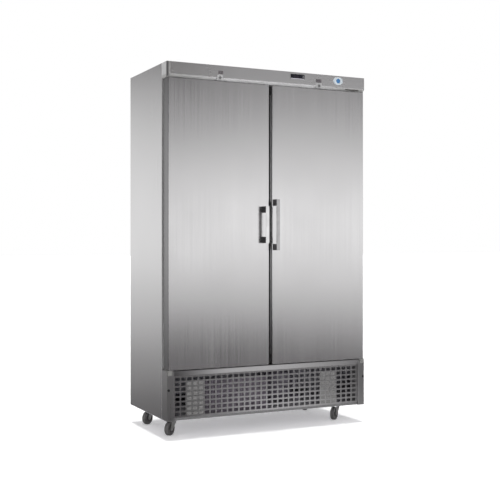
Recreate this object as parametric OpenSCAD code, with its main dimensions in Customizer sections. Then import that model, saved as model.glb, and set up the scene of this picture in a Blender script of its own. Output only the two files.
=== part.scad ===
// Upright two door refrigerated cabinet for catering, on four swivel casters.
// Millimetres. X runs across the front, Y from the front to the back, Z up.
// The origin is on the floor, under the middle of the whole outline.

/* [Cabinet] */
// Overall width
width = 1250; // [1150:10:1400]
// Depth of the insulated body behind the doors
body_depth = 530; // [500:10:700]
// Height of the cabinet above its casters
cab_height = 1940; // [1850:10:2100]
// Height of the machine base below the doors
base_height = 270; // [262:2:320]
// Thickness of the insulated walls with both skins
wall = 50; // [44:1:60]
// Thickness of the outer sheet metal
sheet = 1; // [0.8:0.1:1.4]
// Inside radius of the bends in the sheet metal
bend_r = 2; // [1.5:0.5:3]
// Thickness of the inner liner
liner_t = 1; // [0.6:0.1:1.5]
// Radius of the coved corners of the liner
liner_r = 18; // [8:1:30]

/* [Doors] */
// Thickness of a door
door_depth = 64; // [56:1:75]
// Depth left for the gasket between a door and the body
gasket_depth = 16; // [13:1:20]
// Gap between the two doors
door_gap = 21; // [12:1:30]
// Gap between a door and the plane of the cabinet's side
door_side = 7; // [5:1:9]
// Clearance above and below a door
door_clear = 4; // [4:0.5:7]
// Radius of the folded edges of a door
door_edge_r = 3; // [2.5:0.5:5]
// Distance of the gasket from the edge of its door
gasket_inset = 14; // [12:1:15]
// Width of the gasket
gasket_w = 22; // [18:1:24]
// Distance of the hinge axis from the cabinet's side
pivot_in = 17; // [15:1:18]
// Distance of the hinge axis behind the door's face
pivot_back = 30; // [24:1:34]
// Radius of a hinge pin
pin_r = 5; // [4:0.5:6]
// Length of a hinge pin inside its door
pin_len = 22; // [16:1:30]

/* [Handles] */
// How far a handle stands out from its door
handle_out = 50; // [40:1:60]
// Width of a handle
handle_w = 20; // [16:1:24]
// Length of the left handle
handle_len_left = 206; // [180:2:300]
// Length of the right handle
handle_len_right = 287; // [220:2:340]
// Distance of the left handle from the free edge of its door
handle_in_left = 22; // [15:1:40]
// Distance of the right handle from the free edge of its door
handle_in_right = 4; // [3:1:40]
// Height of the handles' middle above the casters
handle_z = 1063; // [900:5:1200]
// Height of one handle block
block_h = 35; // [28:1:45]
// Thickness of the grip bar
grip_t = 6; // [4:0.5:9]

/* [Control panel] */
// Height of the control panel
fascia_height = 84; // [78:1:100]
// Height of its sloped lower strip
strip_h = 16; // [12:1:20]
// Depth of its sloped lower strip
strip_d = 14; // [10:1:18]
// Width of the controller
panel_w = 90; // [84:1:110]
// Height of the controller
panel_h = 28; // [26:1:34]
// Middle of the controller to the right of the cabinet's middle
panel_x = 174; // [100:2:200]
// Travel of a controller key
key_travel = 0.8; // [0.5:0.1:1.2]

/* [Grille] */
// Width of a base post beside the grille
post_w = 42; // [38:1:50]
// Depth of the grille behind the door's face
grille_in = 14; // [10:1:18]
// Height of the sloped strip above the grille
grille_slope = 29; // [20:1:36]
// Width of one hole
hole_w = 26; // [20:1:28]
// Height of one hole
hole_h = 18; // [14:1:20]
// Spacing of the holes across
pitch_x = 35; // [32:1:40]
// Spacing of the holes in height
pitch_z = 27; // [24:1:32]

/* [Shelves] */
// Height of the lowest shelf above the inner floor
shelf_z0 = 70; // [50:5:120]
// Spacing of the shelves
shelf_pitch = 345; // [300:5:360]
// Thickness of the shelf wires
wire = 4; // [3:0.5:5]
// Spacing of the shelf wires
wire_pitch = 28; // [20:1:36]

/* [Casters] */
// Height of a caster
caster_h = 105; // [100:1:125]
// Diameter of a caster wheel
wheel_d = 75; // [65:1:80]
// Width of a caster wheel
wheel_w = 24; // [20:1:28]
// Distance of the wheel axle from the swivel axis
trail = 30; // [24:1:34]
// Distance of the swivel axes from the sides
caster_in = 95; // [85:1:120]
// Distance of the front swivel axes from the door's face
caster_front = 165; // [100:1:200]
// Distance of the rear swivel axes from the back
caster_rear = 90; // [85:1:120]
// Radial clearance of pins, shafts and barrels
fit = 0.08; // [0.05:0.01:0.1]

/* [Hidden] */
$fn = 36;
bend_steps = 4;
arc_steps = 6;
steel = [0.72, 0.72, 0.70];
dark = [0.22, 0.22, 0.22];
black = [0.06, 0.06, 0.07];
white = [0.90, 0.91, 0.90];
zinc = [0.62, 0.63, 0.64];
foam = [0.93, 0.86, 0.62];
copper = [0.78, 0.46, 0.30];

// Main planes of the cabinet
half = width / 2;
front_depth = door_depth + gasket_depth;
total_depth = handle_out + front_depth + body_depth;
y_door = handle_out - total_depth / 2;
y_frame = y_door + front_depth;
y_back = total_depth / 2;
y_cover = y_back - 2 * sheet;
z_base = caster_h;
z_top = z_base + cab_height;
z_base_top = z_base + base_height;
z_fascia = z_top - fascia_height;
z_door0 = z_base_top + door_clear;
z_door1 = z_fascia - door_clear;
door_x0 = -half + door_side;
door_x1 = -door_gap / 2;

// Inside of the insulated body
seal_land = gasket_inset + gasket_w + 9;
header_t = wall;
roof_t = wall + 10;
z_in0 = z_door0 + seal_land;
z_in1 = z_door1 - seal_land;
z_roof = z_top - roof_t;
z_foam0 = z_in0 - wall;
in_x = half - wall;
y_header = y_frame + header_t;
y_in1 = y_back - wall;
collar = 10;
breaker_w = 10;
frame_hang = 20;
mullion_w = door_gap + 2 * (gasket_inset + gasket_w + 4);
mullion_d = wall - 5;
gasket_clear = 0.3;

// Sheet metal flanges
side_flange = wall - breaker_w;
rear_flange = 20;
post_flange = 16;
post_return = 22;
corner_r = bend_r + 1;
body_x = half - sheet;
cover_x = body_x - corner_r;
frame_x = half - side_flange;
pan_t = 1.5;
pan_lip = 14;
screw_in = 9;
screw_x = -half + screw_in;
screw_z = z_base + 168;
screw_r = 3.5;
screw_head = 2;
screw_len = 9;
slot_w = 60;
slot_h = 6;
slot_step = 18;
slot_rows = 5;
slot_drop = 30;

// Grille
y_grille = y_door + grille_in;
z_grille_top = z_base_top - grille_slope;
grille_w = width - 2 * post_w;
grille_foot = 20;
hole_z0 = z_base + 24;
hole_rim = 8;
columns = floor((grille_w - 2 * hole_rim + pitch_x - hole_w) / pitch_x);
rows = floor((z_grille_top - 6 - hole_z0 + pitch_z - hole_h) / pitch_z);
hole_x0 = -((columns - 1) * pitch_x + hole_w) / 2;
stay_first = 2;
stay_columns = 3;
stay_depth = 18;
stay_rim = 4;
z_stay = hole_z0 + (rows - 1) * pitch_z - (pitch_z - hole_h) / 2;

// Hinges
pivot_x = -half + pivot_in;
pivot_y = y_door + pivot_back;
bracket_t = 3;
bracket_w = 25;
bracket_leg = 22;
leg_t = 2.5;
bore_r = pin_r + fit;

// Casters
axle_r = 4;
axle_z = wheel_d / 2;
plate_t = 3;
plate_x = 92;
plate_y = 72;
plate_r = 6;
bolt_in = 11;
bolt_r = 6.5;
bolt_h = 4;
king_r = 5;
race_r = 27;
race_h = 5;
race_gap = 0.3;
z_race = z_base - plate_t - race_h;
fork_t = 3;
z_fork = z_race - race_gap - fork_t;
leg_in = wheel_w / 2 + 2;
leg_sheet = 2.5;
leg_r = 11;
hub_r = 11;
hub_gap = 0.5;
rim_w = 11.5;
dish = 4;
tread_r = 4;
tread_flat = 0.2;
nut_r = 9;
nut_h = 5;
pedal_pivot = [19, z_fork - 7];
pedal_end = 74;
pedal_pin_r = 2.5;
front_heading = 54;
rear_heading = 58;

// Locks and controller
lock_z = z_fascia + 15;
lock_x = (door_x0 + door_x1) / 2;
barrel_r = 8;
lock_proud = 3;
lock_w = 36;
cam_r = 11.5;
panel_z = z_fascia + strip_h + (fascia_height - strip_h) / 2 + 8;
bezel = 2;
key_w = 9;
key_h = 8;
key_gap = 0.3;
key_r = 1.5;
key_x = panel_x + panel_w / 2 - bezel - 2.5 - key_w / 2;
key_z = [panel_z + key_h / 2 + 0.6, panel_z - key_h / 2 - 0.6];
y_key = y_door + 3.7;
window_in = 1;
window_x0 = panel_x - panel_w / 2 + 5;
window_x1 = key_x - key_w / 2 - 4;
window_z0 = panel_z - panel_h / 2 + 4;
window_z1 = panel_z + panel_h / 2 - 4;
case_d = 34;

// Inner faces of the doors
panel_rise = 7;
draft = 6;

// Racks and shelves
rack_d = 12;
rack_w = 25;
rack_t = 1.2;
centre_w = 40;
runner_t = 1.2;
runner_h = 18;
runner_in = 20;
levels = 4;
y_rack_front = y_frame + mullion_d;
y_rack_rear = y_in1 - rack_w;
z_rack0 = z_in0 + 25;
z_rack1 = z_in1 - 30;
rack_pitch = 90;

// Cooling machinery
evap_w = 760;
evap_h = 112;
evap_y0 = y_header + 12;
evap_y1 = y_in1 - 60;
z_evap = z_roof - evap_h;
z_evap_fan = z_evap + 6;
evap_fan_r = 88;
evap_fan_y = (evap_y0 + evap_y1) / 2 + 20;
fan_t = 26;
pocket_h = fan_t + 16;
shaft_r = 3;
cond_x = -190;
cond_w = 380;
cond_h = 200;
cond_d = 60;
cond_y = y_grille + 45;
cond_z0 = z_base + pan_t;
cond_fan_r = 82;
cond_fan_y = cond_y + cond_d + 6;
fin_pitch = 9;
cond_fan_z = cond_z0 + cond_h / 2;
shroud_d = 34;
shroud_t = 2;
shroud_wall = 3;
blade_gap = 4;
strut_w = 12;
strut_h = 18;
motor_gap = 8;
motor_r = 32;
motor_len = 60;
comp_x = 260;
comp_y = y_cover - 200;
comp_r = 84;
comp_h = 178;
comp_z0 = 20;
comp_edge = 24;
comp_seam = 96;
comp_dome = 40;
foot_h = 12;
tray_w = 320;
tray_d = 160;
tray_h = 42;
tray_t = 3;
tray_r = 12;
pipe_sides = 8;
pipe_gap = 0.05;
pipe_z = cond_z0 + 80;
gland_in = 330;
gland_rear = 60;
gland_x = half - gland_in;
gland_y = y_cover - gland_rear;
gland_r = 10;
cord_r = 5;

// Plane geometry of folded sheets
function unit(v) = v / norm(v);
function left(v) = [-v[1], v[0]];
function turned(v, a) = [v[0] * cos(a) - v[1] * sin(a), v[0] * sin(a) + v[1] * cos(a)];
function course(path, i) = unit(path[i + 1] - path[i]);
function bend_angle(a, b) = atan2(a[0] * b[1] - a[1] * b[0], a * b);
function reversed(v) = [for (i = [len(v) - 1:-1:0]) v[i]];

// One face of a sheet folded along a path: side is 0 for the path itself, t for the face to its left
function sheet_face(path, t, side, r) = [
    path[0] + side * left(course(path, 0)),
    for (i = [1:len(path) - 2])
        let (a = course(path, i - 1), b = course(path, i), w = bend_angle(a, b),
             s = w > 0 ? r + t : -r,
             c = path[i] + s * (left(a) + left(b)) / (1 + a * b))
            for (k = [0:bend_steps]) c - (s - side) * turned(left(a), w * k / bend_steps),
    path[len(path) - 1] + side * left(course(path, len(path) - 2))];
function folded(path, t = sheet, r = bend_r) =
    concat(sheet_face(path, t, 0, r), reversed(sheet_face(path, t, t, r)));

function arc(c, r, a0, a1) = [
    for (k = [0:arc_steps]) let (a = a0 + (a1 - a0) * k / arc_steps) c + r * [cos(a), sin(a)]];

// A rectangle with round corners
function rounded(x0, y0, x1, y1, r) = concat(
    arc([x1 - r, y0 + r], r, -90, 0), arc([x1 - r, y1 - r], r, 0, 90),
    arc([x0 + r, y1 - r], r, 90, 180), arc([x0 + r, y0 + r], r, 180, 270));

// A drawing in Y and Z, drawn out along X
module along_x(x0, x1) translate([x0, 0, 0]) rotate([90, 0, 90]) linear_extrude(x1 - x0) children();
// A drawing in X and Z, drawn out along Y
module along_y(y0, y1) translate([0, y1, 0]) rotate([90, 0, 0]) linear_extrude(y1 - y0) children();
// A drawing in X and Y, drawn out along Z
module along_z(z0, z1) translate([0, 0, z0]) linear_extrude(z1 - z0) children();
module block(a, b) translate(a) cube(b - a);
module rod_x(y, z, x0, x1, r) translate([x0, y, z]) rotate([0, 90, 0]) cylinder(h = x1 - x0, r = r);
module rod_y(x, z, y0, y1, r) translate([x, y1, z]) rotate([90, 0, 0]) cylinder(h = y1 - y0, r = r);
module rod_z(x, y, z0, z1, r) translate([x, y, z0]) cylinder(h = z1 - z0, r = r);
// The right hand twin of a piece drawn on the left
module twin(side) mirror([side > 0 ? 1 : 0, 0, 0]) children();

// Base

module base_pan() color(zinc) difference() {
    union() {
        along_x(-half + post_w, half - post_w) polygon(folded([
            [y_grille - pan_t, z_base + pan_lip], [y_grille - pan_t, z_base],
            [y_cover, z_base], [y_cover, z_base + pan_lip]], pan_t));
        for (s = [-1, 1]) twin(s)
            block([-half, y_door, z_base], [-half + post_w, y_cover, z_base + pan_t]);
    }
    rod_z(gland_x, gland_y, z_base - 1, z_base + pan_t + 1, gland_r + 0.2);
}

module base_post() {
    path = [[-half + post_flange, y_frame], [-half, y_frame], [-half, y_door],
            [-half + post_w, y_door], [-half + post_w, y_door + post_return]];
    difference() {
        union() {
            along_z(z_base + pan_t, z_base_top) polygon(folded(path));
            along_z(z_base_top - sheet, z_base_top) polygon(sheet_face(path, sheet, 0, bend_r));
        }
        rod_y(screw_x, screw_z, y_door - 1, y_door + sheet + 1, screw_r + fit);
    }
}

module grille_holes() for (i = [0:columns - 1], j = [0:rows - 1])
    translate([hole_x0 + i * pitch_x, hole_z0 + j * pitch_z]) square([hole_w, hole_h]);

// A pale stay welded behind some columns of holes, lower than the top row
module grille_stay(first) {
    x0 = hole_x0 + first * pitch_x - stay_rim;
    x1 = hole_x0 + (first + stay_columns - 1) * pitch_x + hole_w + stay_rim;
    y0 = y_grille + sheet;
    along_z(z_base + pan_t + sheet, z_stay) polygon(folded([
        [x0, y0 + stay_depth], [x0, y0], [x1, y0], [x1, y0 + stay_depth]]));
}

module grille_panel() color(steel) {
    window = hole_rim / 2;
    wx = -hole_x0 + window;
    wz0 = hole_z0 - window;
    wz1 = hole_z0 + (rows - 1) * pitch_z + hole_h + window / 2;
    difference() {
        along_x(-half + post_w, half - post_w) polygon(folded([
            [y_frame, z_base_top - post_flange], [y_frame, z_base_top],
            [y_door, z_base_top], [y_grille, z_grille_top],
            [y_grille, z_base + pan_t], [y_grille + grille_foot, z_base + pan_t]]));
        block([-wx, y_grille - 1, wz0], [wx, y_grille + sheet + 1, wz1]);
    }
    along_y(y_grille, y_grille + sheet) difference() {
        translate([-wx, wz0]) square([2 * wx, wz1 - wz0]);
        grille_holes();
    }
    grille_stay(stay_first);
    grille_stay(columns - stay_first - 2 * stay_columns + 1);
}

module grille_screws() color(black)
    for (s = [-1, 1]) twin(s) {
        rod_y(screw_x, screw_z, y_door - screw_head, y_door, 2 * screw_r);
        rod_y(screw_x, screw_z, y_door - screw_head / 2, y_door + screw_len, screw_r);
    }

// Body

module side_panel() along_z(z_base + pan_t, z_top) polygon(folded([
    [-half + rear_flange, y_back], [-half, y_back], [-half, y_frame], [-half + side_flange, y_frame]]));

module rear_panel() color(zinc)
    along_y(y_cover, y_cover + sheet)
        translate([-cover_x, z_foam0]) square([2 * cover_x, z_top - z_foam0]);

module machine_cover() color(zinc)
    along_y(y_cover, y_cover + sheet) difference() {
        translate([-cover_x, z_base]) square([2 * cover_x, z_foam0 - z_base]);
        for (g = [-1, 1], i = [-1.5:1:1.5], j = [0:slot_rows - 1])
            translate([g * half / 2 + i * 1.3 * slot_w - slot_w / 2, z_foam0 - slot_drop - j * slot_step])
                square([slot_w, slot_h]);
    }

module top_panel() color(zinc) along_z(z_top - sheet, z_top)
    polygon(rounded(-body_x, y_frame + sheet, body_x, y_cover, corner_r));

module machine_roof() color(zinc) along_z(z_foam0 - sheet, z_foam0)
    polygon(rounded(-body_x, y_frame + sheet, body_x, y_cover, corner_r));

// The inner space, larger all round by g: the door passage and the chamber behind its header
module passage(g, y0, y1) along_y(y0, y1)
    polygon(rounded(-in_x - g, z_in0 - g, in_x + g, z_in1 + g, liner_r + g));
module chamber(g) along_y(y_header - g, y_in1 + g)
    polygon(rounded(-in_x - g, z_in0 - g, in_x + g, z_roof + g, liner_r + g));

module insulation() color(foam) difference() {
    along_z(z_foam0, z_top - sheet)
        polygon(rounded(-body_x, y_frame + sheet, body_x, y_cover, corner_r));
    passage(liner_t, y_frame - 1, y_header);
    chamber(liner_t);
}

module inner_liner() color(white) difference() {
    union() {
        passage(liner_t, y_frame + collar, y_header);
        chamber(liner_t);
    }
    passage(0, y_frame, y_header + 1);
    chamber(0);
}

module front_frame() color(dark) difference() {
    union() {
        block([-frame_x, y_frame, z_base_top - frame_hang], [frame_x, y_frame + sheet, z_top]);
        passage(liner_t, y_frame, y_frame + collar);
    }
    passage(0, y_frame - 1, y_frame + collar + 1);
}

module mullion() color(steel) along_z(z_in0, z_in1)
    polygon(rounded(-mullion_w / 2, y_frame, mullion_w / 2, y_frame + mullion_d, bend_r));

// Control panel

function fascia_path() = [
    [y_frame, z_fascia + post_flange], [y_frame, z_fascia], [y_door + strip_d, z_fascia],
    [y_door, z_fascia + strip_h], [y_door, z_top], [y_frame, z_top], [y_frame, z_top - post_flange]];

module fascia() color(steel) difference() {
    outline = reversed(fascia_path());
    union() {
        along_x(-half + sheet, half - sheet) polygon(folded(outline));
        for (s = [-1, 1]) twin(s)
            along_x(-half, -half + sheet) polygon(sheet_face(outline, sheet, 0, bend_r));
    }
    block([panel_x - panel_w / 2 + bezel, y_door - 1, panel_z - panel_h / 2 + bezel],
          [panel_x + panel_w / 2 - bezel, y_door + sheet + 1, panel_z + panel_h / 2 - bezel]);
    for (s = [-1, 1]) twin(s) {
        rod_y(lock_x, lock_z, y_door - 1, y_door + strip_d + 4, barrel_r + 0.5);
        rod_z(pivot_x, pivot_y, z_fascia - 1, z_fascia + sheet + 1, pin_r + 1);
    }
}

// A box round the controller's middle, smaller all round by g
module panel_box(g, y0, y1)
    block([panel_x - panel_w / 2 + g, y0, panel_z - panel_h / 2 + g],
          [panel_x + panel_w / 2 - g, y1, panel_z + panel_h / 2 - g]);

module window_box(y0)
    block([window_x0, y0, window_z0], [window_x1, y_door + window_in, window_z1]);

// A key's outline in X and Z, larger all round by g
module key_outline(z, g) {
    w = key_w / 2 + g;
    h = key_h / 2 + g;
    polygon(rounded(key_x - w, z - h, key_x + w, z + h, key_r + g));
}

module controller_case() color(black) difference() {
    union() {
        panel_box(0, y_door - bezel, y_door);
        panel_box(bezel, y_door - 1, y_door + case_d);
    }
    window_box(y_door - bezel - 1);
    for (z = key_z) along_y(y_door - bezel - 1, y_key + key_gap + key_travel) key_outline(z, key_gap);
}

module controller_window() color(dark) window_box(y_door - bezel / 2);

module controller_key(z) color(dark) along_y(y_door - bezel - 1, y_key) key_outline(z, 0);

module lock_housings() color(steel) for (s = [-1, 1]) twin(s) difference() {
    slope = strip_d / strip_h;
    z0 = z_fascia + 1;
    z1 = z_fascia + 2 * strip_h;
    along_x(lock_x - lock_w / 2, lock_x + lock_w / 2) polygon([
        [y_door, z1], [y_door - lock_proud, z1 - 1], [y_door - lock_proud, z0 + 1],
        [y_door - lock_proud + 1, z0], [y_door + strip_d - slope, z0], [y_door, z_fascia + strip_h]]);
    rod_y(lock_x, lock_z, y_door - lock_proud - 1, y_door + strip_d + 1, barrel_r + fit);
}

module lock_barrel() difference() {
    union() {
        rod_y(lock_x, lock_z, y_door - lock_proud - 1.5, y_door + strip_d + 10, barrel_r);
        along_y(y_door + strip_d + 5, y_door + strip_d + 7)
            polygon(rounded(lock_x - 4, lock_z - 4, lock_x + cam_r, lock_z + 4, 2));
    }
    block([lock_x - 1, y_door - lock_proud - 3, lock_z - 4.5], [lock_x + 1, y_door + 4, lock_z + 4.5]);
}

// Hinges

module hinge_brackets() color(steel) for (s = [-1, 1]) twin(s) {
    x0 = -half + 4;
    x1 = x0 + bracket_w;
    block([x0, y_door - leg_t, z_base_top], [x1, pivot_y + 25, z_base_top + bracket_t]);
    block([x0, y_door - leg_t, z_base_top - bracket_leg], [x1, y_door, z_base_top + bracket_t]);
    rod_z(pivot_x, pivot_y, z_base_top + bracket_t - 1, z_door0 + pin_len, pin_r);
    block([x0, y_door + strip_d + 5, z_fascia + sheet],
          [x1, y_frame - sheet - bend_r - 1, z_fascia + sheet + bracket_t]);
    rod_z(pivot_x, pivot_y, z_door1 - pin_len, z_fascia + sheet + 1, pin_r);
}

// Doors, drawn for the left and mirrored for the right

function door_plan(g, y1) = let (r = max(door_edge_r - g, 0.5)) concat(
    arc([door_x0 + g + r, y_door + g + r], r, 180, 270),
    arc([door_x1 - g - r, y_door + g + r], r, 270, 360),
    [[door_x1 - g, y1], [door_x0 + g, y1]]);

module door_skin() difference() {
    along_z(z_door0, z_door1) polygon(door_plan(0, y_door + door_depth));
    along_z(z_door0 + sheet, z_door1 - sheet) polygon(door_plan(sheet, y_door + door_depth + 1));
    rod_z(pivot_x, pivot_y, z_door0 - 1, z_door1 + 1, pin_r + 2);
}

module door_core() {
    g = gasket_inset + gasket_w + 3;
    y1 = y_door + door_depth;
    x0 = door_x0 + g;
    x1 = door_x1 - g;
    z0 = z_door0 + g;
    z1 = z_door1 - g;
    difference() {
        along_z(z_door0 + sheet, z_door1 - sheet) polygon(door_plan(sheet, y1));
        rod_z(pivot_x, pivot_y, z_door0, z_door0 + pin_len + 1, bore_r);
        rod_z(pivot_x, pivot_y, z_door1 - pin_len - 1, z_door1, bore_r);
    }
    intersection() {
        along_z(z0, z1) polygon([[x0, y1 - 1], [x1, y1 - 1], [x1, y1], [x1 - draft, y1 + panel_rise],
                                 [x0 + draft, y1 + panel_rise], [x0, y1]]);
        along_x(x0, x1) polygon([[y1 - 1, z0], [y1, z0], [y1 + panel_rise, z0 + draft],
                                 [y1 + panel_rise, z1 - draft], [y1, z1], [y1 - 1, z1]]);
    }
}

// One layer of the gasket ring: e is how far its outer edge lies inside the widest layer
module gasket_layer(e, w, y0, y1) {
    g = gasket_inset + e;
    along_y(y0, y1) difference() {
        polygon(rounded(door_x0 + g, z_door0 + g, door_x1 - g, z_door1 - g, 3));
        polygon(rounded(door_x0 + g + w, z_door0 + g + w, door_x1 - g - w, z_door1 - g - w, 1.5));
    }
}

module door_gasket() {
    y0 = y_door + door_depth;
    y1 = y_frame - gasket_clear;
    step = (y1 - y0) / 5;
    gasket_layer(1, gasket_w - 2, y0, y0 + step);
    gasket_layer(5, gasket_w - 10, y0 + step, y0 + 2 * step);
    gasket_layer(3, gasket_w - 6, y0 + 2 * step, y0 + 3 * step);
    gasket_layer(0, gasket_w, y0 + 3 * step, y1);
}

// A handle on a door: inset from the free edge, its length and the door's side
module handle_blocks(inset, length) color(black) {
    x1 = door_x1 - inset;
    z = z_base + handle_z;
    for (e = [-1, 1]) translate([0, 0, z + e * (length - block_h) / 2])
        along_z(-block_h / 2, block_h / 2)
            polygon(rounded(x1 - handle_w, y_door - handle_out + grip_t, x1, y_door, 2));
}

module handle_grip(inset, length) color(steel) {
    x1 = door_x1 - inset;
    x0 = x1 - handle_w;
    y0 = y_door - handle_out;
    z = z_base + handle_z;
    along_z(z - length / 2, z + length / 2) polygon(concat(
        arc([x0 + grip_t / 2, y0 + grip_t / 2], grip_t / 2, 180, 270),
        arc([x1 - grip_t / 2, y0 + grip_t / 2], grip_t / 2, 270, 360),
        [[x1, y0 + grip_t], [x0, y0 + grip_t]]));
}

// Racks and shelves

// An upright channel against a wall at x, facing +X when dir is 1
module rack_upright(x, dir, y0) {
    f = x + dir * rack_d;
    difference() {
        along_z(z_rack0, z_rack1) polygon(dir > 0
            ? folded([[x, y0], [f, y0], [f, y0 + rack_w], [x, y0 + rack_w]], rack_t, 1)
            : folded([[x, y0 + rack_w], [f, y0 + rack_w], [f, y0], [x, y0]], rack_t, 1));
        for (z = [z_rack0 + 30:rack_pitch:z_rack1 - 30])
            block([min(f, x) - 2, y0 + 8, z], [max(f, x) + 2, y0 + rack_w - 8, z + 14]);
    }
}

module rack_centre(y0) along_z(z_rack0, z_rack1) difference() {
    polygon(rounded(-centre_w / 2, y0, centre_w / 2, y0 + rack_w, 1.5));
    polygon(rounded(-centre_w / 2 + rack_t, y0 + rack_t, centre_w / 2 - rack_t, y0 + rack_w - rack_t, 0.5));
}

module rack_uprights() color(steel) {
    for (s = [-1, 1]) twin(s) {
        rack_upright(-in_x, 1, y_header + 20);
        rack_upright(-in_x, 1, y_rack_rear - 20);
    }
    rack_centre(y_rack_front);
    rack_centre(y_rack_rear);
}

function shelf_level(i) = z_in0 + shelf_z0 + i * shelf_pitch;

module shelf_runners() color(steel) for (s = [-1, 1], i = [0:levels - 1]) twin(s) {
    z = shelf_level(i);
    x0 = -in_x + rack_d;
    x1 = -centre_w / 2;
    along_y(y_header + 20, y_rack_rear - 20 + rack_w) polygon(folded([
        [x0, z + runner_h - runner_t], [x0, z - runner_t], [x0 + runner_in, z - runner_t]], runner_t, 1));
    along_y(y_rack_front, y_rack_rear + rack_w) polygon(folded([
        [x1 - runner_in, z - runner_t], [x1, z - runner_t], [x1, z + runner_h - runner_t]], runner_t, 1));
}

// A shelf of crossed wires on its runners
module wire_shelf() {
    x0 = -in_x + rack_d + runner_t + 2;
    x1 = -centre_w / 2 - runner_t - 2;
    y0 = y_rack_front + rack_w + 2;
    y1 = y_rack_rear - 2;
    rim = 2 * wire;
    n = floor((x1 - x0 - 2 * rim + wire) / wire_pitch);
    step = (x1 - x0 - 2 * rim + wire) / n;
    bays = 3;
    bay = (y1 - y0 - 2 * rim + wire) / bays;
    difference() {
        polygon(rounded(x0, y0, x1, y1, rim));
        for (i = [0:n - 1], j = [0:bays - 1])
            translate([x0 + rim + i * step, y0 + rim + j * bay]) square([step - wire, bay - wire]);
    }
}

module shelves(i) color(steel) for (s = [-1, 1]) twin(s)
    along_z(shelf_level(i), shelf_level(i) + wire) wire_shelf();

// Evaporator unit under the roof

module evaporator_cover() color(white) difference() {
    union() {
        difference() {
            along_x(-evap_w / 2, evap_w / 2) polygon([
                [evap_y0, z_roof], [evap_y0, z_roof - evap_h / 2], [evap_y0 + 36, z_evap],
                [evap_y1, z_evap], [evap_y1, z_roof]]);
            rod_z(0, evap_fan_y, z_evap - 1, z_evap + pocket_h, evap_fan_r + 5);
            for (x = [-evap_w / 2 + 50:24:evap_w / 2 - 60])
                block([x, evap_y1 - 8, z_evap + 20], [x + 12, evap_y1 + 1, z_roof - 20]);
        }
        rod_z(0, evap_fan_y, z_evap_fan + fan_t + 2, z_evap + pocket_h + 1, 24);
        rod_z(0, evap_fan_y, z_evap_fan + 2, z_evap + pocket_h + 1, shaft_r);
    }
    block([-evap_w, evap_y0 - 1, z_roof], [evap_w, evap_y1 + 1, z_roof + 1]);
}

// An axial fan around the Z axis, from z = 0 up, with a blind bore for its shaft
module fan(r, t, blades) difference() {
    union() {
        cylinder(h = t, r = 0.28 * r);
        intersection() {
            for (k = [0:blades - 1]) rotate([0, 0, k * 360 / blades])
                translate([0.2 * r, 0, t / 2]) rotate([32, 0, 0])
                    translate([0, -0.34 * r, -1]) cube([0.9 * r, 0.68 * r, 2]);
            cylinder(h = t, r = r);
        }
    }
    translate([0, 0, 2]) cylinder(h = t, r = shaft_r + fit);
}

module evaporator_fan() color(black)
    translate([0, evap_fan_y, z_evap_fan]) fan(evap_fan_r, fan_t, 5);

// Machine compartment

module condenser() color(zinc) {
    x0 = cond_x - cond_w / 2;
    x1 = cond_x + cond_w / 2;
    ym = cond_y + cond_d / 2;
    along_z(cond_z0, cond_z0 + cond_h) {
        translate([x0, ym - 8]) square([cond_w, 16]);
        for (x = [x0:fin_pitch:x1 - fin_pitch]) translate([x, cond_y]) square([2, cond_d]);
        translate([x1 - 2, cond_y]) square([2, cond_d]);
    }
}

module condenser_shroud() color(black) {
    x0 = cond_x - cond_w / 2;
    x1 = cond_x + cond_w / 2;
    y0 = cond_y + cond_d;
    y1 = y0 + shroud_d + motor_gap;
    r = cond_fan_r + blade_gap;
    arm = r + shroud_wall + strut_w;
    difference() {
        union() {
            block([x0, y0, cond_z0], [x1, y0 + shroud_t, cond_z0 + cond_h]);
            rod_y(cond_x, cond_fan_z, y0, y0 + shroud_d, r + shroud_wall);
        }
        rod_y(cond_x, cond_fan_z, y0 - 1, y0 + shroud_d + 1, r);
    }
    for (s = [-1, 1]) {
        block([cond_x + s * arm - strut_w / 2, y0 + 1, cond_fan_z - strut_h / 2],
              [cond_x + s * arm + strut_w / 2, y1 + 1, cond_fan_z + strut_h / 2]);
    }
    block([cond_x - arm - strut_w / 2, y1, cond_fan_z - strut_h / 2],
          [cond_x + arm + strut_w / 2, y1 + shroud_t, cond_fan_z + strut_h / 2]);
    rod_y(cond_x, cond_fan_z, y1 - 3, y1 + motor_len, motor_r);
    rod_y(cond_x, cond_fan_z, y0 + 8, y1, shaft_r);
}

module condenser_fan() color(steel)
    translate([cond_x, cond_fan_y, cond_fan_z]) rotate([-90, 0, 0]) fan(cond_fan_r, fan_t, 5);

module compressor() color(black) translate([comp_x, comp_y, z_base + pan_t]) {
    rotate_extrude() polygon(concat(
        [[0, comp_z0], [comp_r - comp_edge, comp_z0]],
        arc([comp_r - comp_edge, comp_z0 + comp_edge], comp_edge, -90, 0),
        [[comp_r, comp_seam], [comp_r + 5, comp_seam + 2], [comp_r + 5, comp_seam + 8],
         [comp_r - 1, comp_seam + 10]],
        arc([comp_r - 1 - comp_dome, comp_h - comp_dome], comp_dome, 0, 90), [[0, comp_h]]));
    block([-comp_r - 20, -comp_r - 8, foot_h], [comp_r + 20, comp_r + 8, comp_z0 + 2]);
    for (s = [-1, 1], t = [-1, 1]) rod_z(s * (comp_r + 8), t * (comp_r - 6), 0, foot_h + 1, 9);
    block([comp_r - 12, -30, 60], [comp_r + 28, 30, 130]);
}

module drip_tray() color(black) {
    x0 = cond_x - tray_w / 2;
    x1 = cond_x + tray_w / 2;
    y0 = y_cover - tray_d - 30;
    y1 = y0 + tray_d;
    difference() {
        along_z(cond_z0, cond_z0 + tray_h) polygon(rounded(x0, y0, x1, y1, tray_r));
        along_z(cond_z0 + tray_t, cond_z0 + tray_h + 1)
            polygon(rounded(x0 + tray_t, y0 + tray_t, x1 - tray_t, y1 - tray_t, tray_r - tray_t));
    }
}

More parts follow.
